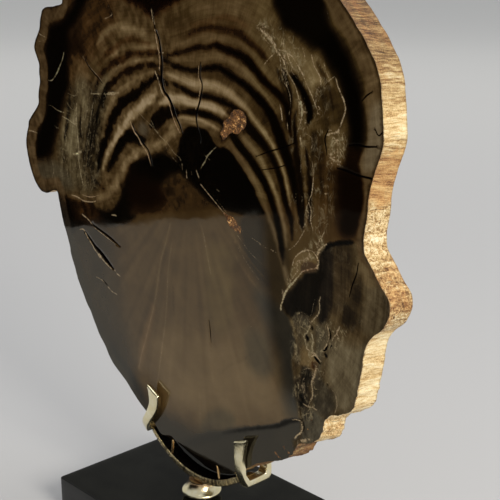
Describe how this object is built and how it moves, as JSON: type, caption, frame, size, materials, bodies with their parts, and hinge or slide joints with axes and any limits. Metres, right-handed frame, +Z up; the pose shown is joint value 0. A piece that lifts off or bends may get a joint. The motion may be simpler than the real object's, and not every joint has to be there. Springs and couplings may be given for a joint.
{
  "type": "petrified wood on stand",
  "caption": "Upright polished slice of petrified wood held in a curved brass cradle with U-shaped clips, on a small turned knop and a glossy black block base.",
  "frame": {"origin": "centre of the block base's underside, straight below the stem", "axes": "+Z up; the slice stands in the X-Z plane and its polished front face looks along -Y; +X is the viewer's right when facing that front"},
  "size_m": [0.3105, 0.1, 0.3564],
  "materials": {
    "fossil_wood": "polished front with black, brown and tan rings, rough natural rim",
    "black_block": "glossy polished black",
    "brass": "polished, pale gold, lightly worn"
  },
  "bodies": {
    "root": {"petrified_wood_slab": "fossil_wood", "stand_base": "black_block", "stem_knop": "brass", "cradle_arc": "brass", "clip_left": "brass", "clip_right": "brass", "rest_pin_left": "brass", "rest_pin_right": "brass"}
  },
  "joints": []
}
